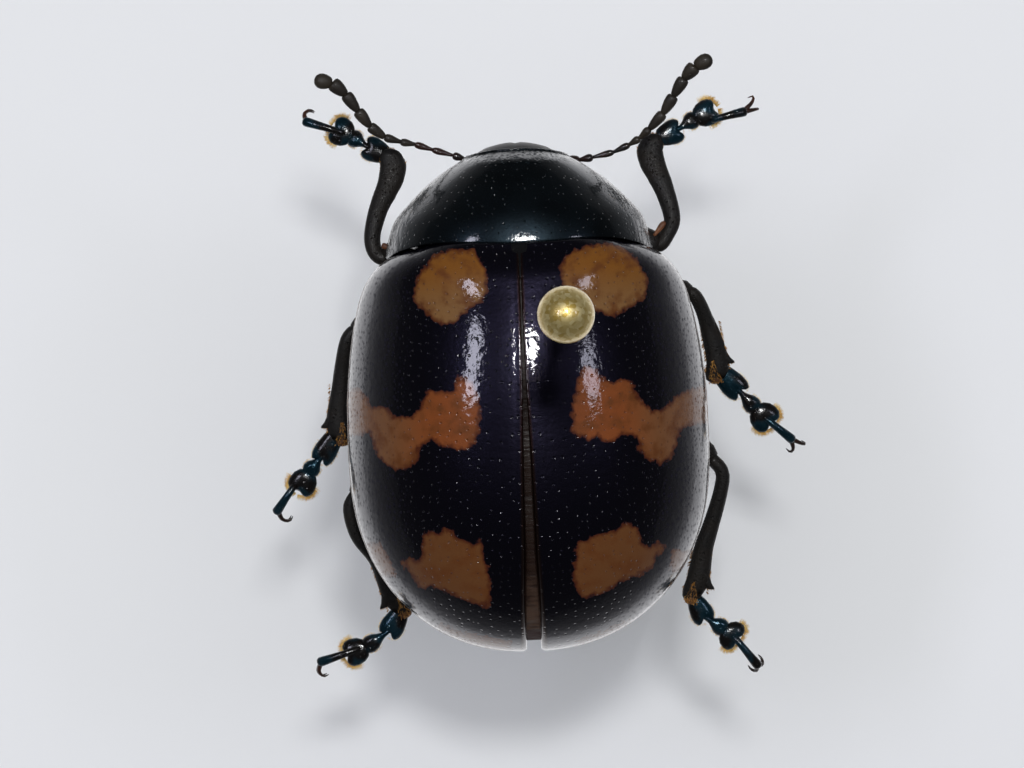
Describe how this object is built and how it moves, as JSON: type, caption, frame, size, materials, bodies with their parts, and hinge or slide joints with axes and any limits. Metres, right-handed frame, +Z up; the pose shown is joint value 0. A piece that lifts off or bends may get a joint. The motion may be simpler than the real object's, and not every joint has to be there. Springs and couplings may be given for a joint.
{
  "type": "beetle specimen",
  "caption": "Pinned leaf beetle, life size: glossy black domed body with orange patches, beaded feelers and jointed legs, held over a small foam block.",
  "frame": {"origin": "centre of the foam block's underside", "axes": "+X to the beetle's right side, +Y towards its head, +Z up along the pin"},
  "size_m": [0.0131, 0.015, 0.0224],
  "materials": {
    "cuticle": "glossy black-violet wing cases, pronotum and head, the wing cases with orange patches",
    "leg_cuticle": "glossy blue-black legs and mouthparts",
    "feeler_brown": "dull dark brown with fine pale hair",
    "belly_cuticle": "satin brown-black underside",
    "eye_black": "glossy finely faceted",
    "pin_steel": "drawn steel wire",
    "pin_ball": "gold glitter in clear glossy bead",
    "foam_white": "matt white closed-cell foam"
  },
  "bodies": {
    "root": {"head": "cuticle", "mouthparts": "leg_cuticle", "eye_left": "eye_black", "eye_right": "eye_black", "antenna_left": "feeler_brown", "antenna_right": "feeler_brown", "pronotum": "cuticle", "prosternum": "belly_cuticle", "scutellum": "cuticle", "elytron_left": "cuticle", "elytron_right": "cuticle", "thorax": "belly_cuticle", "abdomen": "belly_cuticle", "stand_pin": "pin_steel", "stand_pin_head": "pin_ball", "stand_base": "foam_white", "leg_fore_left_femur": "leg_cuticle", "leg_fore_left_tibia": "leg_cuticle", "leg_fore_left_tarsus": "leg_cuticle", "leg_fore_right_femur": "leg_cuticle", "leg_fore_right_tibia": "leg_cuticle", "leg_fore_right_tarsus": "leg_cuticle", "leg_mid_left_femur": "leg_cuticle", "leg_mid_left_tibia": "leg_cuticle", "leg_mid_left_tarsus": "leg_cuticle", "leg_mid_right_femur": "leg_cuticle", "leg_mid_right_tibia": "leg_cuticle", "leg_mid_right_tarsus": "leg_cuticle", "leg_hind_left_femur": "leg_cuticle", "leg_hind_left_tibia": "leg_cuticle", "leg_hind_left_tarsus": "leg_cuticle", "leg_hind_right_femur": "leg_cuticle", "leg_hind_right_tibia": "leg_cuticle", "leg_hind_right_tarsus": "leg_cuticle"}
  },
  "joints": []
}
